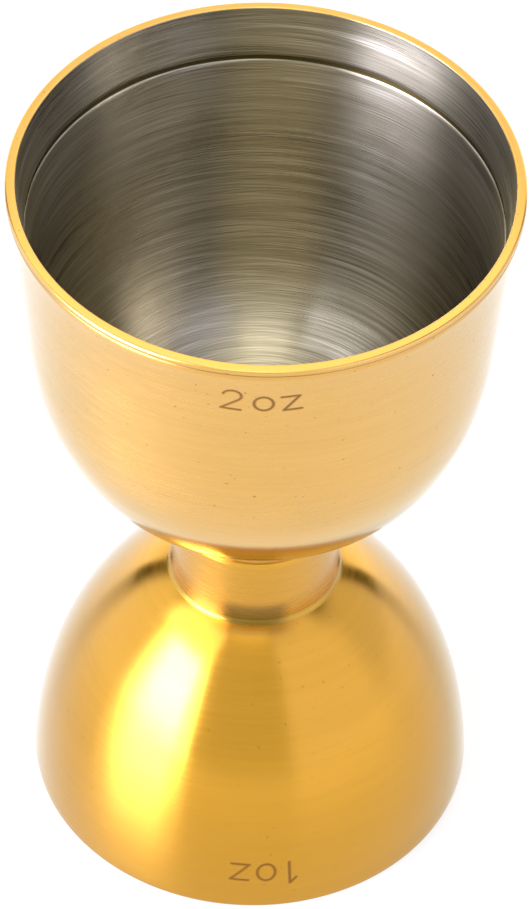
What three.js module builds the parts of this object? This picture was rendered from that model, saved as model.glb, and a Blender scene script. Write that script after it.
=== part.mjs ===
// Double-ended bar jigger: a 2 oz cup above a 1 oz bell, joined by a short welded neck.
// Millimetres, +Z up. The origin is the centre of the bell's mouth, which the jigger stands on.
// Every piece is a body of revolution about Z, so each one is a lathe of its own cross-section.

import * as THREE from 'three';

// ---- Driving dimensions ----------------------------------------------------------------

const SIDES = 64; // facets round every piece, so that neighbours share their facets
const WALL = 1.0; // sheet thickness of both cups

const HEIGHT = 86.0; // bell mouth to cup rim
const RIM_RADIUS = 26.0;
const RIM_THICKNESS = 0.95;
const LIP_WIDTH = 0.6; // rounding of the rim's outer corner, across and down
const LIP_HEIGHT = 0.75;
const LIP_INNER = 0.15; // rounding of the rim's inner corner

const BOWL_RADIUS = 23.9; // where the flared wall turns into the bowl
const BOWL_Z = 67.0;
const WALL_LEAN_TOP = 77.2; // slope of the flared wall at the rim, in degrees from flat
const WALL_LEAN_FOOT = 86.0; // and where it meets the bowl
const CUP_SEAT_RADIUS = 10.0; // flat that is welded to the boss
const CUP_SEAT_Z = 45.4;

const LINE_DEPTH = 6.3; // measuring line inside the cup, below the rim
const LINE_WIDTH = 0.5;
const LINE_CUT = 0.15;

const MOUTH_RADIUS = 23.3;
const MOUTH_ROUND_OUTER = 0.35;
const MOUTH_ROUND_INNER = 0.25;
const MOUTH_LEAN = 86.7; // slope of the bell at its mouth, in degrees from flat
const CROWN_RADIUS = 9.9; // flat that is welded to the collar
const CROWN_Z = 29.6;
const CROWN_LEAN = 42.2; // slope of the bell where it meets that flat

const NECK_RADIUS = 9.0;
const NECK_BORE = 7.4;
const SEAM_Z = 38.6; // where the collar meets the boss, at the bottom of a shallow groove
const SEAM_DEPTH = 0.12;
const SEAM_HALF_WIDTH = 0.5;
const SPIGOT_RADIUS = 7.1; // boss's locating spigot, 0.3 mm clear of the collar's bore
const SPIGOT_LENGTH = 4.0;
const SPIGOT_CHAMFER = 0.5;
const WELD_LEG = 0.9; // leg of the weld fillet at each end of the neck

// ---- Materials -------------------------------------------------------------------------

const plated = (colour, roughness) =>
  new THREE.MeshStandardMaterial({ color: colour, roughness, metalness: 1 });

const brushedGold = plated(0xe6b566, 0.32);
const polishedGold = plated(0xdca63c, 0.2);
const weldGold = plated(0xcf9a3a, 0.4);

// ---- Profile helpers -------------------------------------------------------------------

const point = (r, z) => new THREE.Vector2(r, z);

const direction = (degrees) => {
  const angle = THREE.MathUtils.degToRad(degrees);
  return point(Math.cos(angle), Math.sin(angle));
};

// A smooth curve between two points that leaves and arrives with the given slopes.
function easedCurve(start, startReach, end, endReach) {
  return new THREE.CubicBezierCurve(
    start,
    start.clone().add(startReach),
    end.clone().add(endReach),
    end,
  );
}

// The same curve, moved by the sheet's thickness towards the side the cup holds its drink on.
function offsetPoints(curve, divisions, distance) {
  const points = [];
  for (let i = 0; i <= divisions; i += 1) {
    const t = i / divisions;
    const along = curve.getTangent(t);
    const here = curve.getPoint(t);
    points.push(point(here.x - along.y * distance, here.y + along.x * distance));
  }
  return points;
}

// A quarter ellipse, as the rounding of an edge.
function cornerPoints(centre, width, height, fromDegrees, toDegrees, divisions) {
  const points = [];
  for (let i = 0; i <= divisions; i += 1) {
    const angle = THREE.MathUtils.degToRad(
      THREE.MathUtils.lerp(fromDegrees, toDegrees, i / divisions),
    );
    points.push(point(centre.x + width * Math.cos(angle), centre.y + height * Math.sin(angle)));
  }
  return points;
}

// Turns a profile of (radius, height) points about Z.
function turned(name, profile, material) {
  const geometry = new THREE.LatheGeometry(profile, SIDES);
  geometry.rotateX(Math.PI / 2);
  const mesh = new THREE.Mesh(geometry, material);
  mesh.name = name;
  return mesh;
}

// ---- Large cup -------------------------------------------------------------------------

const bowlCurve = easedCurve(
  point(CUP_SEAT_RADIUS, CUP_SEAT_Z),
  direction(9).multiplyScalar(10.4),
  point(BOWL_RADIUS, BOWL_Z),
  direction(WALL_LEAN_FOOT).multiplyScalar(-10.1),
);

const flaredCurve = easedCurve(
  point(BOWL_RADIUS, BOWL_Z),
  direction(WALL_LEAN_FOOT).multiplyScalar(5),
  point(RIM_RADIUS, HEIGHT - LIP_HEIGHT),
  direction(WALL_LEAN_TOP).multiplyScalar(-5),
);

// Cuts the measuring line into the inside wall, which is listed from the rim down.
function withMeasuringLine(innerWall) {
  const lineZ = HEIGHT - LINE_DEPTH;
  const above = innerWall.filter((p) => p.y > lineZ + LINE_WIDTH);
  const below = innerWall.filter((p) => p.y < lineZ - LINE_WIDTH);
  const upper = above[above.length - 1];
  const lower = below[0];
  const radiusAt = (z) => THREE.MathUtils.mapLinear(z, lower.y, upper.y, lower.x, upper.x);
  const topEdge = lineZ + LINE_WIDTH / 2;
  const bottomEdge = lineZ - LINE_WIDTH / 2;
  return [
    ...above,
    point(radiusAt(topEdge), topEdge),
    point(radiusAt(lineZ) + LINE_CUT, lineZ),
    point(radiusAt(bottomEdge), bottomEdge),
    ...below,
  ];
}

function largeCup() {
  const lip = cornerPoints(
    point(RIM_RADIUS - LIP_WIDTH, HEIGHT - LIP_HEIGHT), LIP_WIDTH, LIP_HEIGHT, 0, 90, 4,
  );
  const innerEdge = cornerPoints(
    point(RIM_RADIUS - RIM_THICKNESS + LIP_INNER, HEIGHT - LIP_INNER),
    LIP_INNER, LIP_INNER, 90, 180, 2,
  );
  const innerWall = offsetPoints(flaredCurve, 7, WALL).reverse().slice(1);
  const innerBowl = offsetPoints(bowlCurve, 14, WALL).reverse().slice(1);
  const profile = [
    point(0, CUP_SEAT_Z),
    ...bowlCurve.getPoints(14),
    ...flaredCurve.getPoints(7).slice(1),
    ...lip.slice(1),
    ...innerEdge,
    ...withMeasuringLine(innerWall),
    ...innerBowl,
    point(0, CUP_SEAT_Z + WALL),
  ];
  return turned('large_cup', profile, brushedGold);
}

// ---- Small cup -------------------------------------------------------------------------

const bellCurve = easedCurve(
  point(MOUTH_RADIUS, MOUTH_ROUND_OUTER),
  direction(180 - MOUTH_LEAN).multiplyScalar(12.6),
  point(CROWN_RADIUS, CROWN_Z),
  direction(-CROWN_LEAN).multiplyScalar(11.2),
);

function smallCup() {
  const innerRadius = MOUTH_RADIUS - WALL;
  const outerEdge = cornerPoints(
    point(MOUTH_RADIUS - MOUTH_ROUND_OUTER, MOUTH_ROUND_OUTER),
    MOUTH_ROUND_OUTER, MOUTH_ROUND_OUTER, -90, 0, 3,
  );
  const innerEdge = cornerPoints(
    point(innerRadius + MOUTH_ROUND_INNER, MOUTH_ROUND_INNER),
    MOUTH_ROUND_INNER, MOUTH_ROUND_INNER, 180, 270, 2,
  );
  const innerBell = offsetPoints(bellCurve, 16, WALL).reverse();
  const profile = [
    point(0, CROWN_Z - WALL),
    ...innerBell.slice(0, -1),
    ...innerEdge,
    ...outerEdge,
    ...bellCurve.getPoints(16).slice(1),
    point(0, CROWN_Z),
  ];
  return turned('small_cup', profile, polishedGold);
}

// ---- Neck ------------------------------------------------------------------------------

// The tube that stands on the bell's crown.
function waistCollar() {
  const profile = [
    point(NECK_BORE, CROWN_Z),
    point(NECK_RADIUS, CROWN_Z),
    point(NECK_RADIUS, SEAM_Z - SEAM_HALF_WIDTH),
    point(NECK_RADIUS - SEAM_DEPTH, SEAM_Z),
    point(NECK_BORE, SEAM_Z),
    point(NECK_BORE, CROWN_Z),
  ];
  return turned('waist_collar', profile, polishedGold);
}

// The turned boss under the large cup, with a spigot that locates it in the collar.
function cupBoss() {
  const spigotEnd = SEAM_Z - SPIGOT_LENGTH;
  const profile = [
    point(0, spigotEnd),
    point(SPIGOT_RADIUS - SPIGOT_CHAMFER, spigotEnd),
    point(SPIGOT_RADIUS, spigotEnd + SPIGOT_CHAMFER),
    point(SPIGOT_RADIUS, SEAM_Z),
    point(NECK_RADIUS - SEAM_DEPTH, SEAM_Z),
    point(NECK_RADIUS, SEAM_Z + SEAM_HALF_WIDTH),
    point(NECK_RADIUS, CUP_SEAT_Z),
    point(0, CUP_SEAT_Z),
  ];
  return turned('cup_boss', profile, polishedGold);
}

// ---- Weld fillets ----------------------------------------------------------------------

// A slightly hollow fillet in the corner between the neck and a flat. side is 1 when the
// fillet lies above the flat and -1 when it lies below it.
function weldFillet(name, flatZ, side) {
  const middle = WELD_LEG * 0.42;
  const corners = [
    point(NECK_RADIUS, flatZ),
    point(NECK_RADIUS + WELD_LEG, flatZ),
    point(NECK_RADIUS + middle, flatZ + side * middle),
    point(NECK_RADIUS, flatZ + side * WELD_LEG),
    point(NECK_RADIUS, flatZ),
  ];
  return turned(name, side > 0 ? corners : corners.reverse(), weldGold);
}

// ---- Assembly --------------------------------------------------------------------------

const jigger = new THREE.Group();
jigger.add(
  largeCup(),
  smallCup(),
  waistCollar(),
  cupBoss(),
  weldFillet('upper_weld', CUP_SEAT_Z, -1),
  weldFillet('lower_weld', CROWN_Z, 1),
);

export default jigger;
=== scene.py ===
import math

import bpy
import numpy as np
from mathutils import Matrix, Vector


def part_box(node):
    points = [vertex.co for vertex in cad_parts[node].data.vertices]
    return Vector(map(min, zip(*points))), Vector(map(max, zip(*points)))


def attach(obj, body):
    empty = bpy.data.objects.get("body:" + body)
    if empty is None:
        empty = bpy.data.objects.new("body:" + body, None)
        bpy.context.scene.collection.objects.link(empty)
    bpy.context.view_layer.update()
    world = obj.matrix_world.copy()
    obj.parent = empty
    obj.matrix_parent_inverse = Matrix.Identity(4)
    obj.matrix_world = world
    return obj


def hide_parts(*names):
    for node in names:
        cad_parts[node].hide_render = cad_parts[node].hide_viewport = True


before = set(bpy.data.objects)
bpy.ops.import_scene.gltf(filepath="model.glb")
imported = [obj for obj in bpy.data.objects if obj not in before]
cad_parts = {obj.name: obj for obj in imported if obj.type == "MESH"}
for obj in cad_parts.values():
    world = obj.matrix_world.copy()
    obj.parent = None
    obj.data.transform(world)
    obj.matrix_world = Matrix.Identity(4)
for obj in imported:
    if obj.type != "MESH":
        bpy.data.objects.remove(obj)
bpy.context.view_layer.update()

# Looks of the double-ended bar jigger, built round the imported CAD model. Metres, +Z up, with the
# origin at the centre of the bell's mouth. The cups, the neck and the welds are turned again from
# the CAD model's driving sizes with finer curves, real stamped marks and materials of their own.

MM = 0.001

# ---- Sizes -------------------------------------------------------------------------------
# Slopes are in degrees from flat. A reach is how far the end of a curve holds its slope.

cup_low, cup_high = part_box("large_cup")
_, bell_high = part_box("small_cup")
_, collar_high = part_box("waist_collar")
boss_low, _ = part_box("cup_boss")

HEIGHT = cup_high.z
RIM_RADIUS = cup_high.x
CUP_SEAT_Z = cup_low.z
MOUTH_RADIUS = bell_high.x
CROWN_Z = bell_high.z
NECK_RADIUS = collar_high.x
SEAM_Z = collar_high.z
SPIGOT_END = boss_low.z
WELD_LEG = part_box("lower_weld")[1].z - CROWN_Z

WALL = 1.0 * MM  # sheet thickness of both cups
RIM_THICKNESS = 1.05 * MM
LIP_HEIGHT = 0.75 * MM  # from the top of the flared wall to the rim
LIP_ROUND = 0.28 * MM
LIP_FALL = 0.07 * MM  # the lip's top falls this much towards the outside
LIP_INNER = 0.15 * MM

GROOVE_DEPTH = 0.05 * MM  # the turned line under the lip
GROOVE_ROWS = (  # its rows from the flared wall up: share of its depth, height above the wall
    (0.5, 0.03 * MM), (1, 0.06 * MM), (1, 0.09 * MM), (0.4, 0.13 * MM), (0, 0.16 * MM),
)
GROOVE_SHADE = (0.15, 0.45, 0.85, 0.85, 0.45, 0.1)  # painted groove shade: darkness of the wall's last row and of these

BOWL_RADIUS = 23.9 * MM  # where the flared wall turns into the bowl
BOWL_Z = 67.0 * MM
WALL_LEAN_TOP = 77.2
WALL_LEAN_FOOT = 86.0
WALL_REACH = 5 * MM
BOWL_LEAN_FOOT = 9
BOWL_REACH_FOOT = 10.4 * MM
BOWL_REACH_TOP = 10.1 * MM
CUP_SEAT_RADIUS = 10.0 * MM

LINE_DEPTH = 6.3 * MM  # the measuring line inside the large cup, below the rim
LINE_WIDTH = 0.7 * MM
LINE_CUT = 0.1 * MM
LINE_ROWS = (-0.5, -0.42, -0.36, -0.3, -0.15, 0, 0.15, 0.3, 0.36, 0.42, 0.5)  # in widths
LINE_SIDES = (0.34, 0.46)  # the cut ends between these distances from its middle, in widths
LINE_SHADE = (0.15, 0.65)  # painted shade in the cut: it darkens between these shares of its depth

MOUTH_ROUND_OUTER = 0.35 * MM
MOUTH_ROUND_INNER = 0.25 * MM
MOUTH_LEAN = 86.7
MOUTH_REACH = 12.6 * MM
CROWN_RADIUS = 9.9 * MM
CROWN_LEAN = 42.2
CROWN_REACH = 11.2 * MM
CROWN_EASE_RADIUS = 13.5 * MM  # inside it the crown flattens towards the neck
CROWN_EASE_DROP = 0.74 * MM
COVERED_CROWN_DROP = 0.3 * MM  # the crown's middle is flat and this much lower, out of sight
COVERED_CROWN_SHARE = 0.7  # out to this share of the neck's radius

NECK_BORE = 7.4 * MM
SEAM_DEPTH = 0.12 * MM
SEAM_HALF_WIDTH = 0.5 * MM
SPIGOT_RADIUS = 7.1 * MM
SPIGOT_CHAMFER = 0.5 * MM
LOWER_FILLET = 0.4 * MM
WELD_ROOT_IN = 0.05 * MM  # the welds' roots reach this far into the neck
WELD_ROOT_DOWN = 0.1 * MM  # and into the cup

CURVE_SAMPLES = 801
ROW_STEP = 0.8 * MM  # spacing of the rows of faces along a plain stretch of profile
MARK_STEP = 0.075 * MM  # the same where a mark is stamped
NECK_STEP = 0.4 * MM  # and along the neck
CRISP_STEP = 0.03 * MM  # next to a crisp corner, or CRISP_SHARE of the side if that is less
CRISP_SHARE = 0.2
ON_AXIS = 0.01 * MM  # a point nearer to the axis than this counts as on it
COLUMNS = 180


# ---- Profiles ----------------------------------------------------------------------------


def direction(degrees):
    return np.array([math.cos(math.radians(degrees)), math.sin(math.radians(degrees))])


def eased_curve(start, start_reach, end, end_reach):
    """A smooth curve in (radius, height): its points, their unit normals and the length to each."""
    t = np.linspace(0, 1, CURVE_SAMPLES)[:, None]
    start, end = np.array(start), np.array(end)
    a, b = start + start_reach, end + end_reach
    points = (1 - t) ** 3 * start + 3 * (1 - t) ** 2 * t * a + 3 * (1 - t) * t**2 * b + t**3 * end
    along = (1 - t) ** 2 * (a - start) + 2 * (1 - t) * t * (b - a) + t**2 * (end - b)
    along /= np.linalg.norm(along, axis=1)[:, None]
    normals = np.column_stack((-along[:, 1], along[:, 0]))
    return {"length": lengths_to(points), "points": points, "normals": normals}


def lengths_to(points):
    """The length along an outline up to each of its points."""
    return np.concatenate(([0], np.cumsum(np.linalg.norm(np.diff(points, axis=0), axis=1))))


def stations(length, fine=None):
    """Places along a length, ROW_STEP apart, or MARK_STEP apart inside the fine stretch."""
    places = np.linspace(0, length, max(2, round(length / ROW_STEP)) + 1)
    if fine:
        inside = np.arange(fine[0], fine[1], MARK_STEP)
        outside = places[(places < fine[0] - MARK_STEP) | (places > fine[1] + MARK_STEP)]
        places = np.sort(np.concatenate((outside, inside)))
    return places


def along_curve(curve, places, offset=0.0):
    """Points of the curve at those lengths, moved along its normals. offset may differ by place."""
    on_curve, normals = (
        np.column_stack([np.interp(places, curve["length"], curve[key][:, k]) for k in (0, 1)])
        for key in ("points", "normals")
    )
    return on_curve + np.reshape(offset, (-1, 1)) * normals


def corner(centre, width, height, from_degrees, to_degrees, count):
    """Points of an elliptical arc round a centre."""
    angles = np.radians(np.linspace(from_degrees, to_degrees, count))
    across = centre[0] + width * np.cos(angles)
    up = centre[1] + height * np.sin(angles)
    return np.column_stack((across, up))


def length_at_height(curve, z):
    order = np.argsort(curve["points"][:, 1])
    return float(np.interp(z, curve["points"][order, 1], curve["length"][order]))


# ---- Stamped marks -----------------------------------------------------------------------

STROKE_HALF_WIDTH = 0.24 * MM
STROKE_DEPTH = 0.075 * MM
STROKE_STAIN = 1.6  # how much faster than its depth a stroke's colour darkens from its edges in
MARK_HALF_WIDTH = 5.6 * MM
MARK_HALF_HEIGHT = 2.3 * MM
MARK_BELOW_RIM = 4.95 * MM  # middle of the large cup's mark
MARK_ABOVE_MOUTH = 4.85 * MM  # and of the bell's


def two(width, height):
    bowl = corner((0, 0.22 * height), 0.48 * width, 0.28 * height, 168, -38, 20)
    return np.vstack((bowl, [(-0.5 * width, -0.5 * height), (0.52 * width, -0.5 * height)]))


def one(flag, height):
    return np.array([(-flag, 0.5 * height - flag), (0, 0.5 * height), (0, -0.5 * height)])


def letter_o(width, height):
    return corner((0, 0), 0.5 * width, 0.5 * height, 0, 360, 28)


def letter_z(width, height):
    x, y = 0.5 * width, 0.5 * height
    return np.array([(-x, y), (x, y), (-x, -y), (x, -y)])


def placed(stroke, x, y, tilt):
    """A glyph in millimetres, tilted by a few degrees as a hand-held punch leaves it."""
    c, s = math.cos(math.radians(tilt)), math.sin(math.radians(tilt))
    return (stroke @ np.array([[c, s], [-s, c]]) + (x, y)) * MM


TWO_OUNCES = [
    placed(two(1.9, 3.1), -2.7, 0.0, -4),
    placed(letter_o(1.9, 2.2), 0.45, -0.4, 0),
    placed(letter_z(1.8, 2.2), 3.2, -0.3, 6),
]
ONE_OUNCE = [
    placed(one(0.7, 3.0), -4.7, 0.0, 3),
    placed(letter_o(1.9, 2.3), -2.2, -0.3, 0),
    placed(letter_z(1.9, 2.2), 0.6, -0.35, -3),
]


def distance_to_strokes(x, y, strokes):
    best = np.full(x.shape, np.inf)
    for stroke in strokes:
        for a, b in zip(stroke[:-1], stroke[1:]):
            run = b - a
            t = np.clip(((x - a[0]) * run[0] + (y - a[1]) * run[1]) / (run @ run), 0, 1)
            best = np.minimum(best, np.hypot(x - a[0] - t * run[0], y - a[1] - t * run[1]))
    return best


def stamped_depth(radii, lengths, angles, mark):
    """How deep each point of the turned surface is stamped, from 0 to 1."""
    strokes, middle, upright = mark
    x = upright * radii[:, None] * angles
    y = upright * (lengths[:, None] - middle)
    near = (np.abs(y) < MARK_HALF_HEIGHT) & (np.abs(x) < MARK_HALF_WIDTH)
    away = distance_to_strokes(x, y, strokes)
    return np.clip(1 - away / STROKE_HALF_WIDTH, 0, 1) * near


# ---- Turning -----------------------------------------------------------------------------


def angles_round(fine_half_angle=0.0, fine_step=0.0):
    """Angles from -Y towards +X, all the way round, closer together where a mark is stamped."""
    angles = np.linspace(-math.pi, math.pi, COLUMNS, endpoint=False)
    if fine_half_angle:
        inside = np.arange(-fine_half_angle, fine_half_angle + fine_step, fine_step)
        outside = angles[np.abs(angles) > fine_half_angle + fine_step]
        angles = np.sort(np.concatenate((outside, inside)))
    return angles


def turned(name, profile, angles, mark=None, closed=False, painted_shade=None):
    """Turns (radius, height) rows about Z and returns the piece and the row of each face.

    The rows run so that the metal is on their left. A closed profile joins its last row to its
    first. Any other one starts and ends on the axis and gets poles there. mark is (strokes,
    length along the rows at its middle, 1 or -1 for upright or upside down), and it is pressed
    in along the normal. The last argument is each row's share of the mark's dark colour, painted
    in as shade in grooves where there is no stamp.
    """
    rows = np.array(profile)
    arc = lengths_to(rows)
    along = np.gradient(rows, axis=0)
    along /= np.linalg.norm(along, axis=1)[:, None]
    stamped = np.zeros((len(rows), len(angles)))
    if mark:
        stamped = stamped_depth(rows[:, 0], arc, angles, mark)
    dark = np.clip(stamped * STROKE_STAIN, 0, 1)
    # Painted shade in grooves, in the same dark colour as the stamped strokes.
    if painted_shade is not None:
        dark = np.maximum(dark, painted_shade[:, None])
    radius = rows[:, :1] - along[:, 1:] * stamped * STROKE_DEPTH
    height = rows[:, 1:] + along[:, :1] * stamped * STROKE_DEPTH
    grid = np.stack((radius * np.sin(angles), -radius * np.cos(angles), height), axis=-1)

    columns = len(angles)
    first, last = (0, len(rows)) if closed else (1, len(rows) - 1)
    vertices = grid[first:last].reshape(-1, 3)
    ring_rows = last - first
    j = np.arange(columns)
    k = (j + 1) % columns
    faces, face_rows = [], []
    for i in range(ring_rows if closed else ring_rows - 1):
        low, high = i * columns, ((i + 1) % ring_rows) * columns
        faces += np.column_stack((low + j, low + k, high + k, high + j)).tolist()
        face_rows += [i + first] * columns
    values = {
        "arc": np.repeat(arc[first:last], columns),
        "mark": dark[first:last].ravel(),
    }
    if not closed:
        start, end = len(vertices), len(vertices) + 1
        top = (ring_rows - 1) * columns
        vertices = np.vstack((vertices, [(0, 0, rows[0, 1]), (0, 0, rows[-1, 1])]))
        faces += [(start, int(b), int(a)) for a, b in zip(j, k)]
        faces += [(end, int(top + a), int(top + b)) for a, b in zip(j, k)]
        face_rows += [0] * columns + [len(rows) - 2] * columns
        values = {key: np.append(v, (v[0], v[-1])) for key, v in values.items()}

    mesh = bpy.data.meshes.new(name)
    mesh.from_pydata(vertices.tolist(), [], faces)
    for key, v in values.items():
        data = mesh.attributes.new(key, "FLOAT", "POINT").data
        data.foreach_set("value", v.astype(np.float32))
    mesh.shade_smooth()
    mesh.update()
    piece = bpy.data.objects.new(name, mesh)
    bpy.context.scene.collection.objects.link(piece)
    return piece, np.array(face_rows)


def finish_piece(piece, node, slot, *materials, second=None):
    """Gives a piece its materials and its place in the frame.

    second is true for the faces that have the second material.
    """
    for material in materials:
        piece.data.materials.append(material)
    if second is not None:
        piece.data.polygons.foreach_set("material_index", second.astype(np.int32))
    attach(piece, "root")
    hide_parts(node)


# ---- Large cup ---------------------------------------------------------------------------


def rim_lip():
    """The rim from the top of the flared wall inwards: turned line, rounded edge, even top."""
    foot = HEIGHT - LIP_HEIGHT
    groove = [(RIM_RADIUS - GROOVE_DEPTH * share, foot + up) for share, up in GROOVE_ROWS]
    top = HEIGHT - LIP_FALL
    edge = corner((RIM_RADIUS - LIP_ROUND, top - LIP_ROUND), LIP_ROUND, LIP_ROUND, 0, 82, 9)
    inner = RIM_RADIUS - RIM_THICKNESS + LIP_INNER
    radii = np.linspace(edge[-1][0], inner, 5)[1:-1]
    slope = [(r, np.interp(r, (inner, edge[-1][0]), (HEIGHT, edge[-1][1]))) for r in radii]
    return np.vstack((groove, edge, slope))


def rim_inner_edge():
    centre = (RIM_RADIUS - RIM_THICKNESS + LIP_INNER, HEIGHT - LIP_INNER)
    return corner(centre, LIP_INNER, LIP_INNER, 90, 180, 6)


def inner_cup_wall(flare):
    """The large cup's inside wall from the rim down, and how deep in its measuring line each row is."""
    line = length_at_height(flare, HEIGHT - LINE_DEPTH)
    plain = stations(flare["length"][-1])
    plain = plain[np.abs(plain - line) > LINE_WIDTH]
    across_line = line + LINE_WIDTH * np.array(LINE_ROWS)
    places = np.sort(np.concatenate((plain, across_line)))[::-1]
    into_line = np.interp(np.abs(places - line) / LINE_WIDTH, LINE_SIDES, (1, 0))
    wall = along_curve(flare, places, WALL - LINE_CUT * into_line)
    return wall[1:], into_line[1:]


def large_cup_shell(outside, inside):
    bowl = eased_curve(
        (CUP_SEAT_RADIUS, CUP_SEAT_Z), BOWL_REACH_FOOT * direction(BOWL_LEAN_FOOT),
        (BOWL_RADIUS, BOWL_Z), -BOWL_REACH_TOP * direction(WALL_LEAN_FOOT),
    )
    flare = eased_curve(
        (BOWL_RADIUS, BOWL_Z), WALL_REACH * direction(WALL_LEAN_FOOT),
        (RIM_RADIUS, HEIGHT - LIP_HEIGHT), -WALL_REACH * direction(WALL_LEAN_TOP),
    )
    end = flare["length"][-1]
    mark_length = length_at_height(flare, HEIGHT - MARK_BELOW_RIM)
    fine = (mark_length - MARK_HALF_HEIGHT, mark_length + MARK_HALF_HEIGHT)
    seat = [(0, CUP_SEAT_Z), (0.5 * CUP_SEAT_RADIUS, CUP_SEAT_Z)]
    outer_bowl = along_curve(bowl, stations(bowl["length"][-1]))
    outer_wall = along_curve(flare, stations(end, fine))[1:]
    outer = np.vstack((seat, outer_bowl, outer_wall))
    rim = np.vstack((rim_lip(), rim_inner_edge()))
    inner_wall, into_line = inner_cup_wall(flare)
    inner_bowl = along_curve(bowl, stations(bowl["length"][-1])[::-1], WALL)[1:]
    floor_radii = np.linspace(inner_bowl[-1][0], 0, 14)[1:]
    inner_floor = [(r, CUP_SEAT_Z + WALL) for r in floor_radii]
    profile = np.vstack((outer, rim, inner_wall, inner_bowl, inner_floor))

    wall_row = len(outer) + len(rim)
    steel_row = wall_row - 3  # the plating ends halfway round the rim's inner edge
    painted_shade = np.zeros(len(profile))
    # Painted shade in the turned groove under the lip.
    painted_shade[len(outer) - 1 :][: len(GROOVE_SHADE)] = GROOVE_SHADE
    # The measuring line's painted shade starts one row above its cut.
    painted_shade[wall_row - 1 :][: len(into_line)] = np.interp(into_line, LINE_SHADE, (0, 1))
    mark = (TWO_OUNCES, lengths_to(outer)[-1] - (end - mark_length), 1)
    angles = angles_round(MARK_HALF_WIDTH / RIM_RADIUS, MARK_STEP / RIM_RADIUS)
    piece, rows = turned("large_cup_shell", profile, angles, mark=mark, painted_shade=painted_shade)
    finish_piece(piece, "large_cup", "brushed_gold", outside, inside, second=rows >= steel_row)


# ---- Small cup ---------------------------------------------------------------------------


def eased_crown(points):
    """The heights of the bell's outside, flattened towards the neck."""
    inside = np.clip(CROWN_EASE_RADIUS - points[:, 0], 0, None) / (CROWN_EASE_RADIUS - NECK_RADIUS)
    return points[:, 1] - CROWN_EASE_DROP * inside**2


def crown_height(radius):
    """The same surface carried on from the bell's curve to the neck."""
    height = CROWN_Z + (CROWN_RADIUS - radius) * math.tan(math.radians(CROWN_LEAN))
    return float(eased_crown(np.array([[radius, height]]))[0])


def mouth_edge(radius, rounding, from_degrees, to_degrees, count):
    return corner((radius, rounding), rounding, rounding, from_degrees, to_degrees, count)


def small_cup_shell(outside, inside):
    bell = eased_curve(
        (MOUTH_RADIUS, MOUTH_ROUND_OUTER), MOUTH_REACH * direction(180 - MOUTH_LEAN),
        (CROWN_RADIUS, CROWN_Z), CROWN_REACH * direction(-CROWN_LEAN),
    )
    end = bell["length"][-1]
    mark_length = length_at_height(bell, MARK_ABOVE_MOUTH)
    fine = (mark_length - MARK_HALF_HEIGHT, mark_length + MARK_HALF_HEIGHT)
    inner_bell = along_curve(bell, stations(end)[::-1], WALL)
    crown_inside = [(r, CROWN_Z - WALL) for r in np.linspace(0, inner_bell[0][0], 12)[:-1]]
    inner_bell = inner_bell[inner_bell[:, 1] < CROWN_Z - WALL][:-1]
    inner_radius = MOUTH_RADIUS - WALL + MOUTH_ROUND_INNER
    inner_edge = mouth_edge(inner_radius, MOUTH_ROUND_INNER, 180, 270, 5)
    outer_edge = mouth_edge(MOUTH_RADIUS - MOUTH_ROUND_OUTER, MOUTH_ROUND_OUTER, -90, 0, 8)
    outer_bell = along_curve(bell, stations(end, fine))[1:]
    outer_bell[:, 1] = eased_crown(outer_bell)
    to_neck = [(r, crown_height(r)) for r in np.linspace(CROWN_RADIUS, NECK_RADIUS, 5)[1:]]
    covered_z = CROWN_Z - COVERED_CROWN_DROP
    covered = [(COVERED_CROWN_SHARE * NECK_RADIUS, covered_z), (0, covered_z)]
    steel = np.vstack((crown_inside, inner_bell, inner_edge))
    to_mouth = np.vstack((steel, outer_edge))
    profile = np.vstack((to_mouth, outer_bell, to_neck, covered))

    mark = (ONE_OUNCE, lengths_to(to_mouth)[-1] + mark_length, -1)
    angles = angles_round(MARK_HALF_WIDTH / MOUTH_RADIUS, MARK_STEP / MOUTH_RADIUS)
    piece, rows = turned("small_cup_shell", profile, angles, mark=mark)
    unplated = rows < len(steel) - 1
    finish_piece(piece, "small_cup", "polished_gold", outside, inside, second=unplated)


# ---- Neck and welds ----------------------------------------------------------------------


def spaced(points, step):
    """Fills in a closed outline with rows at most a step apart, and keeps its corners crisp."""
    filled = []
    for a, b in zip(points, points[1:] + points[:1]):
        a, b = np.array(a), np.array(b)
        length = np.linalg.norm(b - a)
        t = np.linspace(0, 1, max(1, math.ceil(length / step)) + 1)[:-1]
        crisp = min(CRISP_STEP / length, CRISP_SHARE)
        t = np.unique(np.concatenate((t, [crisp, 1 - crisp])))
        filled += [tuple(a + (b - a) * share) for share in t]
    return filled


def waist_collar(material):
    outline = [
        (NECK_BORE, CROWN_Z),
        (NECK_RADIUS, CROWN_Z),
        (NECK_RADIUS, SEAM_Z - SEAM_HALF_WIDTH),
        (NECK_RADIUS - SEAM_DEPTH, SEAM_Z),
        (NECK_BORE, SEAM_Z),
    ]
    rows = spaced(outline, NECK_STEP)
    piece, _ = turned("waist_collar_tube", rows, angles_round(), closed=True)
    finish_piece(piece, "waist_collar", "neck_gold", material)


def cup_boss(material):
    profile = [
        (0, SPIGOT_END),
        (SPIGOT_RADIUS - SPIGOT_CHAMFER, SPIGOT_END),
        (SPIGOT_RADIUS, SPIGOT_END + SPIGOT_CHAMFER),
        (SPIGOT_RADIUS, SEAM_Z),
        (NECK_RADIUS - SEAM_DEPTH, SEAM_Z),
        (NECK_RADIUS, SEAM_Z + SEAM_HALF_WIDTH),
        (NECK_RADIUS, CUP_SEAT_Z),
        (0, CUP_SEAT_Z),
    ]
    off_axis = [point for point in spaced(profile, NECK_STEP) if point[0] > ON_AXIS]
    rows = [profile[0]] + off_axis + [profile[-1]]
    piece, _ = turned("cup_boss_turning", rows, angles_round())
    finish_piece(piece, "cup_boss", "neck_gold", material)


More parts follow.
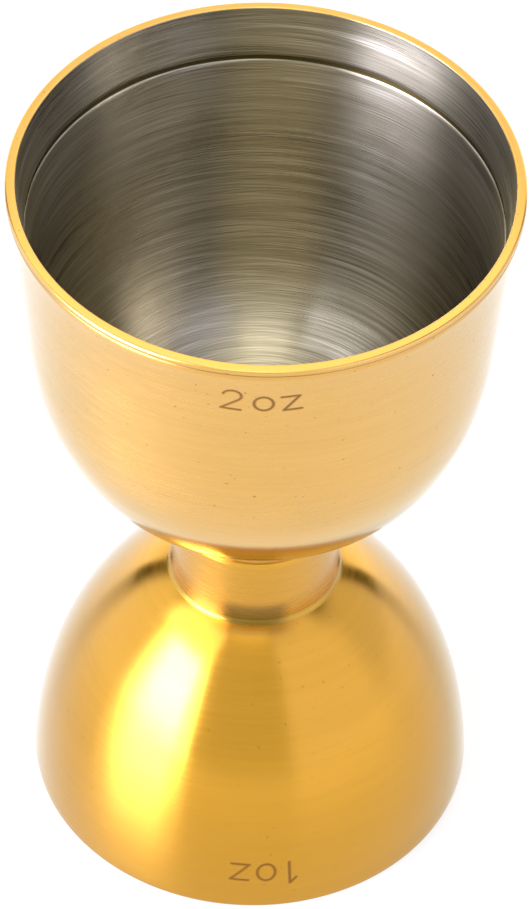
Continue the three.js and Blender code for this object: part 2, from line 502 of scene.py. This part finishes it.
def fillet(corner_z, slope, leg, side):
    """An arc from the neck's wall to a face that leaves the neck at that slope, tangent to both.

    side is 1 when the fillet lies above the face and -1 when it lies below it.
    """
    away = np.array([math.cos(slope), -side * math.sin(slope)])
    start = np.array([NECK_RADIUS, corner_z + side * leg])
    middle = np.array([NECK_RADIUS, corner_z])
    end = middle + leg * away
    weight = math.sin((math.pi / 2 + slope) / 2)
    t = np.linspace(0, 1, 14)[:, None]
    shares = (1 - t) ** 2, 2 * weight * t * (1 - t), t**2
    arc = (shares[0] * start + shares[1] * middle + shares[2] * end) / sum(shares)
    root = [(NECK_RADIUS - WELD_ROOT_IN, corner_z - side * WELD_ROOT_DOWN)]
    return np.vstack((root, end - (0, side * WELD_ROOT_DOWN), arc[::-1]))


def weld_bead(name, node, outline, material):
    piece, _ = turned(name, outline, angles_round(), closed=True)
    finish_piece(piece, node, "weld_gold", material)


def lower_weld(material):
    """The fillet that blends the neck into the bell's crown."""
    near, far = crown_height(NECK_RADIUS), crown_height(NECK_RADIUS + LOWER_FILLET)
    slope = math.atan2(near - far, LOWER_FILLET)
    outline = fillet(near, slope, LOWER_FILLET, 1)
    weld_bead("lower_weld_bead", "lower_weld", outline[::-1], material)


def upper_weld(material):
    """The fillet in the corner between the neck and the flat under the large cup."""
    outline = fillet(CUP_SEAT_Z, 0.0, WELD_LEG, -1)
    weld_bead("upper_weld_bead", "upper_weld", outline, material)


# ---- Shader nodes ------------------------------------------------------------------------

CREASE_SHADE_ANGLES = (-21, 22)  # the painted shade in the crease at the neck's foot, in degrees from the front
CREASE_SHADE_ANGLE_EDGES = (16, 14)  # the softness of its left and right edges
CREASE_SHADE_HEIGHTS = (28.9 * MM, 32.1 * MM)
CREASE_SHADE_HEIGHT_EDGES = (0.6 * MM, 1.6 * MM)
STREAK_ROUGHNESS = 0.6  # how strong the finer parts of the streaks' noise are


class Graph:
    """A material's or world's node tree. Most methods add nodes and return the last one's output."""

    def __init__(self, tree):
        self.tree = tree
        self.shader = next((n for n in tree.nodes if n.type == "BSDF_PRINCIPLED"), None)

    def put(self, socket, value):
        if isinstance(value, bpy.types.NodeSocket):
            self.tree.links.new(value, socket)
        else:
            socket.default_value = value

    def node(self, kind, settings=(), inputs=(), output=0):
        made = self.tree.nodes.new(kind)
        for key, value in dict(settings).items():
            setattr(made, key, value)
        for key, value in dict(inputs).items():
            self.put(made.inputs[key], value)
        return made.outputs[output]

    def math(self, operation, a, b=0.0):
        return self.node("ShaderNodeMath", {"operation": operation}, {0: a, 1: b})

    def sum_of(self, *terms):
        """The sum of (value, weight) pairs."""
        weighted = [self.math("MULTIPLY", value, weight) for value, weight in terms]
        total = weighted[0]
        for value in weighted[1:]:
            total = self.math("ADD", total, value)
        return total

    def scaled(self, value, from_low, from_high, to_low, to_high, curve="LINEAR"):
        settings = {"clamp": True, "interpolation_type": curve}
        inputs = {0: value, 1: from_low, 2: from_high, 3: to_low, 4: to_high}
        return self.node("ShaderNodeMapRange", settings, inputs)

    def window(self, value, low, high, low_edge, high_edge):
        """1 between low and high and 0 outside, with edges that soft."""
        low_start, low_end = low - low_edge / 2, low + low_edge / 2
        high_start, high_end = high - high_edge / 2, high + high_edge / 2
        rise = self.scaled(value, low_start, low_end, 0.0, 1.0, "SMOOTHSTEP")
        fall = self.scaled(value, high_start, high_end, 1.0, 0.0, "SMOOTHSTEP")
        return self.math("MULTIPLY", rise, fall)

    def attribute(self, name):
        return self.node("ShaderNodeAttribute", {"attribute_name": name}, output="Fac")

    def blend(self, share, a, b):
        return self.node("ShaderNodeMix", {"data_type": "RGBA"}, {0: share, 6: a, 7: b}, output=2)

    def place(self):
        return self.node("ShaderNodeTexCoord", output="Object")

    def split(self, vector):
        return self.node("ShaderNodeSeparateXYZ", inputs={0: vector}).node.outputs

    def azimuth(self, x, y):
        """The angle from the front towards the right, in degrees."""
        front = self.math("MULTIPLY", y, -1.0)
        return self.math("DEGREES", self.math("ARCTAN2", x, front))

    def streaks(self, height, length, detail=2.0, shift=0.0, lean=(0.0, 0.0)):
        """Noise in streaks that run round the axis, each about that high and long.

        lean makes them climb by that much per metre along X and Y. Streaks with different
        shifts are unlike each other.
        """
        place = self.split(self.place())
        x = self.math("MULTIPLY", place[0], 1 / length)
        y = self.math("MULTIPLY", place[1], 1 / length)
        climb = self.sum_of((place[0], lean[0]), (place[1], lean[1]))
        up = self.math("MULTIPLY", self.math("ADD", self.attribute("arc"), climb), 1 / height)
        up = self.math("ADD", up, shift)
        vector = self.node("ShaderNodeCombineXYZ", inputs={0: x, 1: y, 2: up})
        inputs = {"Vector": vector, "Scale": 1.0, "Detail": detail, "Roughness": STREAK_ROUGHNESS}
        return self.node("ShaderNodeTexNoise", inputs=inputs)

    def mottle(self, size, detail=3.0):
        inputs = {"Vector": self.place(), "Scale": 1 / size, "Detail": detail}
        return self.node("ShaderNodeTexNoise", inputs=inputs)

    def crease_shade_mask(self):
        """1 inside the painted shade in the crease at the front of the neck's foot."""
        place = self.split(self.place())
        across = self.window(self.azimuth(place[0], place[1]), *CREASE_SHADE_ANGLES, *CREASE_SHADE_ANGLE_EDGES)
        up = self.window(place[2], *CREASE_SHADE_HEIGHTS, *CREASE_SHADE_HEIGHT_EDGES)
        return self.math("MULTIPLY", across, up)


# ---- Materials ---------------------------------------------------------------------------

# Pairs named RANGE are the values of a noise where its effect starts and where it is whole.
TONE_RANGE = (0.32, 0.68)
ROUGHNESS_RANGE = (0.35, 0.65)
GOUGE_RANGE = (0.64, 0.74)
LIGHT_SCRATCH_RANGE = (0.56, 0.70)
DARK_SCRATCH_RANGE = (0.44, 0.30)
CREASE_SHADE_STREAK_RANGE = (0.3, 0.7)
SPECK_RANGE = (0.82, 0.86)

BROAD_HEIGHT, BROAD_LENGTH = 4.5, 5  # size of the broad streaks against the fine ones
GOUGE_HEIGHT, GOUGE_LENGTH = 0.7, 3.5
CROSSING_HEIGHT = 1.1
BROAD_SHIFT, GOUGE_SHIFT = 7.0, 31.0
CROSSINGS = (50.0, (0.05, 0.02)), (70.0, (-0.03, -0.06))  # shift and lean of the scratches
CLOUD_SIZE = 9 * MM
SPECK_SIZE = 0.4 * MM
CREASE_SHADE_EVENNESS = 0.75  # the painted crease shade's strength in its palest streaks

POLISHED_ROUGHNESS = 0.09
MARK_ROUGHNESS = 0.45
LACQUER_ROUGHNESS = 0.14
LACQUER_IOR = 1.28

WHITE = (1, 1, 1, 1)
GOLD_EDGE = (0.93, 1.0, 0.93, 1)  # the gold's tint where it is seen edge on
STEEL_EDGE = (0.12, 0.115, 0.08, 1)
# The stamped strokes' brown, which also paints shade into the groove under the lip.
MARK_AND_SHADE_BROWN = (0.27, 0.108, 0.001, 1)
# Painted shade in the cut of the measuring line inside the large cup.
STEEL_LINE_SHADE = (0.07, 0.052, 0.016, 1)
LIGHT_SCRATCH = (0.80, 0.76, 0.62, 1)
DARK_SCRATCH = (0.12, 0.11, 0.08, 1)
# The painted shade in the crease at the neck's foot.
CREASE_SHADE_COLOUR = (0.15, 0.09, 0.004, 1)
SPECK_BROWN = (0.10, 0.045, 0.008, 1)
# Painted shade: a darker gold on the large cup's underside, above the neck and bell.
UNDERSIDE_SHADE_GOLD = (0.58, 0.29, 0.028, 1)
UNDERSIDE_SHADE_HEIGHTS = (54.6 * MM, 56.2 * MM)  # the painted underside shade gives way to the wall's gold between these


def brushed_metal(
    name, colour, shade, roughness, streak_height, streak_length, streak_depth, anisotropy,
    lacquer=0.0, specks=0.0, crease_shaded=0.0, scratched=0.0, polished_below=None,
    mark_and_shade_colour=MARK_AND_SHADE_BROWN, edge_tint=WHITE,
):
    """Metal brushed round the axis: fine streaks, a few longer gouges, and soft handling marks.

    It varies between colour and shade, and between the two values of roughness. lacquer, specks,
    tinted and scratched are the strengths of the clear coat, the dark specks, the painted shade in
    the crease at the neck's foot and the crossing scratches. polished_below is (height where the
    brushing has gone, height where it is whole), and comes with a darker gold painted underneath
    as shade.
    """
    material = bpy.data.materials.new(name)
    material.use_nodes = True
    g = Graph(material.node_tree)
    fine = g.streaks(streak_height, streak_length, detail=3.0)
    broad = g.streaks(streak_height * BROAD_HEIGHT, streak_length * BROAD_LENGTH, shift=BROAD_SHIFT)
    gouges = g.streaks(
        streak_height * GOUGE_HEIGHT, streak_length * GOUGE_LENGTH, detail=1.0, shift=GOUGE_SHIFT,
    )
    gouge = g.scaled(gouges, *GOUGE_RANGE, 0.0, 1.0)
    stamped = g.attribute("mark")

    tone = g.scaled(g.sum_of((fine, 0.5), (broad, 0.5)), *TONE_RANGE, 0.0, 1.0)
    surface = g.blend(tone, shade, colour)
    if scratched:
        for shift, lean in CROSSINGS:
            lines = g.streaks(streak_height * CROSSING_HEIGHT, streak_length, 1.0, shift, lean)
            light = g.scaled(lines, *LIGHT_SCRATCH_RANGE, 0.0, scratched)
            dark = g.scaled(lines, *DARK_SCRATCH_RANGE, 0.0, scratched)
            surface = g.blend(light, surface, LIGHT_SCRATCH)
            surface = g.blend(dark, surface, DARK_SCRATCH)
    # Painted shade in the crease at the front of the neck's foot.
    if crease_shaded:
        strength = g.scaled(fine, *CREASE_SHADE_STREAK_RANGE, CREASE_SHADE_EVENNESS * crease_shaded, crease_shaded)
        surface = g.blend(g.math("MULTIPLY", g.crease_shade_mask(), strength), surface, CREASE_SHADE_COLOUR)
    # Stamped strokes, and painted shade in the groove under the lip and in the measuring line.
    surface = g.blend(stamped, surface, mark_and_shade_colour)
    if specks:
        speck = g.scaled(g.mottle(SPECK_SIZE, detail=0.0), *SPECK_RANGE, 0.0, specks)
        surface = g.blend(speck, surface, SPECK_BROWN)

    clouded = g.sum_of((fine, 0.6), (g.mottle(CLOUD_SIZE), 0.4))
    rough = g.scaled(clouded, *ROUGHNESS_RANGE, *roughness)
    relief = g.sum_of((fine, 0.7), (broad, 0.5), (gouge, -0.35))
    if polished_below:
        height = g.split(g.place())[2]
        brushed = g.scaled(height, *polished_below, 0.0, 1.0, "SMOOTHSTEP")
        # Painted shade: the large cup's underside turns to a darker gold.
        below = g.scaled(height, *UNDERSIDE_SHADE_HEIGHTS, 1.0, 0.0, "SMOOTHSTEP")
        surface = g.blend(below, surface, UNDERSIDE_SHADE_GOLD)
        rough = g.scaled(brushed, 0.0, 1.0, POLISHED_ROUGHNESS, rough)
        relief = g.math("MULTIPLY", relief, brushed)
    rough = g.math("MAXIMUM", rough, g.math("MULTIPLY", stamped, MARK_ROUGHNESS))
    heights = {"Strength": 1.0, "Distance": streak_depth, "Height": relief}

    inputs = {
        "Base Color": surface,
        "Roughness": rough,
        "Normal": g.node("ShaderNodeBump", inputs=heights),
        "Tangent": g.node("ShaderNodeTangent", {"direction_type": "RADIAL", "axis": "Z"}),
        "Metallic": 1.0,
        "Anisotropic": anisotropy,
        "Anisotropic Rotation": 0.25,
        "Specular Tint": edge_tint,
        "Coat Weight": lacquer,
        "Coat Roughness": LACQUER_ROUGHNESS,
        "Coat IOR": LACQUER_IOR,
    }
    for key, value in inputs.items():
        g.put(g.shader.inputs[key], value)
    return material


def cup_gold():
    return brushed_metal(
        "brushed_gold", colour=(0.73, 0.43, 0.105, 1), shade=(0.67, 0.385, 0.085, 1),
        roughness=(0.20, 0.30), streak_height=0.16 * MM, streak_length=4 * MM,
        streak_depth=0.0018 * MM, anisotropy=0.75, lacquer=1.0, specks=0.5,
        polished_below=(57 * MM, 60 * MM), edge_tint=GOLD_EDGE,
    )


def bell_gold():
    return brushed_metal(
        "polished_gold", colour=(0.57, 0.285, 0.018, 1), shade=(0.53, 0.265, 0.014, 1),
        roughness=(0.17, 0.24), streak_height=0.2 * MM, streak_length=7 * MM,
        streak_depth=0.0009 * MM, anisotropy=0.75, lacquer=1.0, specks=0.3, crease_shaded=0.4,
        edge_tint=GOLD_EDGE,
    )


def neck_gold():
    return brushed_metal(
        "neck_gold", colour=(0.65, 0.34, 0.03, 1), shade=(0.57, 0.29, 0.022, 1),
        roughness=(0.18, 0.30), streak_height=0.14 * MM, streak_length=3 * MM,
        streak_depth=0.0025 * MM, anisotropy=0.7, lacquer=1.0, crease_shaded=0.85,
    )


def weld_gold():
    return brushed_metal(
        "weld_gold", colour=(0.52, 0.29, 0.025, 1), shade=(0.44, 0.24, 0.02, 1),
        roughness=(0.22, 0.32), streak_height=0.2 * MM, streak_length=3 * MM,
        streak_depth=0.002 * MM, anisotropy=0.6, lacquer=1.0, crease_shaded=0.85,
    )


def bare_steel(name):
    return brushed_metal(
        name, colour=(0.47, 0.423, 0.30, 1), shade=(0.31, 0.277, 0.19, 1),
        roughness=(0.25, 0.34), streak_height=0.10 * MM, streak_length=16 * MM,
        streak_depth=0.003 * MM, anisotropy=0.95, scratched=0.4,
        mark_and_shade_colour=STEEL_LINE_SHADE, edge_tint=STEEL_EDGE,
    )


# ---- Studio ------------------------------------------------------------------------------

VIEW_ELEVATION = 47.5
VIEW_ROLL = 1.755
VIEW_DISTANCE = 694.5 * MM
VIEW_HEIGHT = 40 * MM  # the camera looks at this height on the axis,
VIEW_SHIFT = (0.93 * MM, 3.96 * MM)  # then moves this far to its right and up
LENS = 263.4
SENSOR = 36.0


def camera():
    """The photograph's viewpoint: from the front, well above the rim, through a long lens."""
    e, roll = math.radians(VIEW_ELEVATION), math.radians(VIEW_ROLL)
    back = Vector((0, -math.cos(e), math.sin(e)))
    right = Vector((1, 0, 0))
    up = back.cross(right)
    side = math.cos(roll) * right + math.sin(roll) * up
    top = -math.sin(roll) * right + math.cos(roll) * up
    target = Vector((0, 0, VIEW_HEIGHT)) + VIEW_SHIFT[0] * side + VIEW_SHIFT[1] * top
    data = bpy.data.cameras.new("camera")
    data.lens, data.sensor_width = LENS, SENSOR
    data.clip_start, data.clip_end = 0.01, 100
    made = bpy.data.objects.new("camera", data)
    axes = Matrix((side, top, back)).transposed().to_4x4()
    made.matrix_world = Matrix.Translation(target + VIEW_DISTANCE * back) @ axes
    bpy.context.scene.collection.objects.link(made)
    bpy.context.scene.camera = made


DIM_LIGHT = 0.04  # the unlit walls and ceiling
BACKDROP_LIGHT = 1.0  # what the camera sees behind the floor

# Soft-edged panels all round the object: azimuths from the front towards the right, elevations,
# the softness of their left, right, lower and upper edges, all in degrees, and their light.
# A mirrored panel's azimuths count to both sides. The windows on the left and right are cooler,
# and the light from overhead and from high at the back is warmer.
PANELS = {
    "key": ((-80, -34), (-30, 31), (20, 4, 10, 8), (8.0, 8.1, 10.4), False),
    "key_core": ((-71, -42), (5, 33), (18, 7, 20, 12), (14.5, 14.6, 20.0), False),
    "key_high": ((-93, -34), (31, 60), (14, 4, 8, 10), (3.4, 3.4, 4.0), False),
    "left": ((-122, -82), (-30, 46), (12, 22, 10, 16), (1.6, 1.65, 2.1), False),
    "front": ((-34, 24), (-30, 66), (4, 12, 10, 12), (1.0, 1.0, 1.0), False),
    "right": ((24, 84), (-30, 64), (12, 20, 10, 14), (1.4, 1.43, 2.0), False),
    "side": ((84, 123), (-30, 46), (20, 7, 10, 18), (1.1, 1.12, 1.5), False),
    "back_low": ((133, 400), (-30, 20), (3, 1, 10, 14), (2.0, 2.0, 2.0), True),
    "back_mid": ((135, 400), (20, 45), (30, 1, 14, 14), (1.25, 1.15, 1.0), True),
    "back_high": ((130, 400), (45, 72), (40, 1, 14, 14), (2.3, 2.05, 1.7), True),
    "overhead": ((-400, 400), (74, 120), (1, 1, 14, 1), (2.3, 2.2, 2.0), False),
    "front_top": ((-34, 24), (62, 78), (4, 14, 10, 8), (2.6, 2.5, 2.4), False),
}


def studio_light():
    """Dim walls with soft panels for the metal to reflect, and a pale backdrop for the camera."""
    world = bpy.data.worlds.new("studio")
    world.use_nodes = True
    bpy.context.scene.world = world
    g = Graph(world.node_tree)
    towards = g.split(g.node("ShaderNodeTexCoord"))
    azimuth = g.azimuth(towards[0], towards[1])
    elevation = g.math("DEGREES", g.math("ARCSINE", towards[2]))
    both_sides = g.math("ABSOLUTE", azimuth)
    light = (DIM_LIGHT, DIM_LIGHT, DIM_LIGHT)
    for azimuths, elevations, edges, radiance, mirrored in PANELS.values():
        across = g.window(both_sides if mirrored else azimuth, *azimuths, *edges[:2])
        up = g.window(elevation, *elevations, *edges[2:])
        share = g.math("MULTIPLY", across, up)
        lit = g.node("ShaderNodeVectorMath", {"operation": "SCALE"}, {0: radiance, "Scale": share})
        light = g.node("ShaderNodeVectorMath", {"operation": "ADD"}, {0: lit, 1: light})
    seen = g.node("ShaderNodeLightPath")
    backdrop = (BACKDROP_LIGHT, BACKDROP_LIGHT, BACKDROP_LIGHT, 1)
    background = world.node_tree.nodes["Background"]
    g.put(background.inputs["Color"], g.blend(seen, light, backdrop))


FLOOR_HALF_WIDTH = 4.0
FLOOR_Z = -0.02 * MM
FLOOR_GREY = (0.2, 0.2, 0.2, 1)
FLOOR_ROUGHNESS = 0.25
FLOOR_GLOW = 0.74


def floor():
    """A pale, slightly satin floor that is lit evenly from within, like a light table."""
    half = FLOOR_HALF_WIDTH
    corners = [(x, y, FLOOR_Z) for x, y in ((-half, -half), (half, -half), (half, half), (-half, half))]
    mesh = bpy.data.meshes.new("floor")
    mesh.from_pydata(corners, [], [(0, 1, 2, 3)])
    made = bpy.data.objects.new("floor", mesh)
    bpy.context.scene.collection.objects.link(made)
    material = bpy.data.materials.new("floor")
    material.use_nodes = True
    shader = Graph(material.node_tree).shader
    shader.inputs["Base Color"].default_value = FLOOR_GREY
    shader.inputs["Roughness"].default_value = FLOOR_ROUGHNESS
    shader.inputs["Emission Color"].default_value = WHITE
    shader.inputs["Emission Strength"].default_value = FLOOR_GLOW
    mesh.materials.append(material)


# ---- Scene -------------------------------------------------------------------------------

camera()
studio_light()
floor()

large_cup_shell(cup_gold(), bare_steel("bare_steel_cup"))
small_cup_shell(bell_gold(), bare_steel("bare_steel_bell"))
neck = neck_gold()
waist_collar(neck)
cup_boss(neck)
weld = weld_gold()
upper_weld(weld)
lower_weld(weld)

bpy.context.scene.view_settings.view_transform = "Standard"
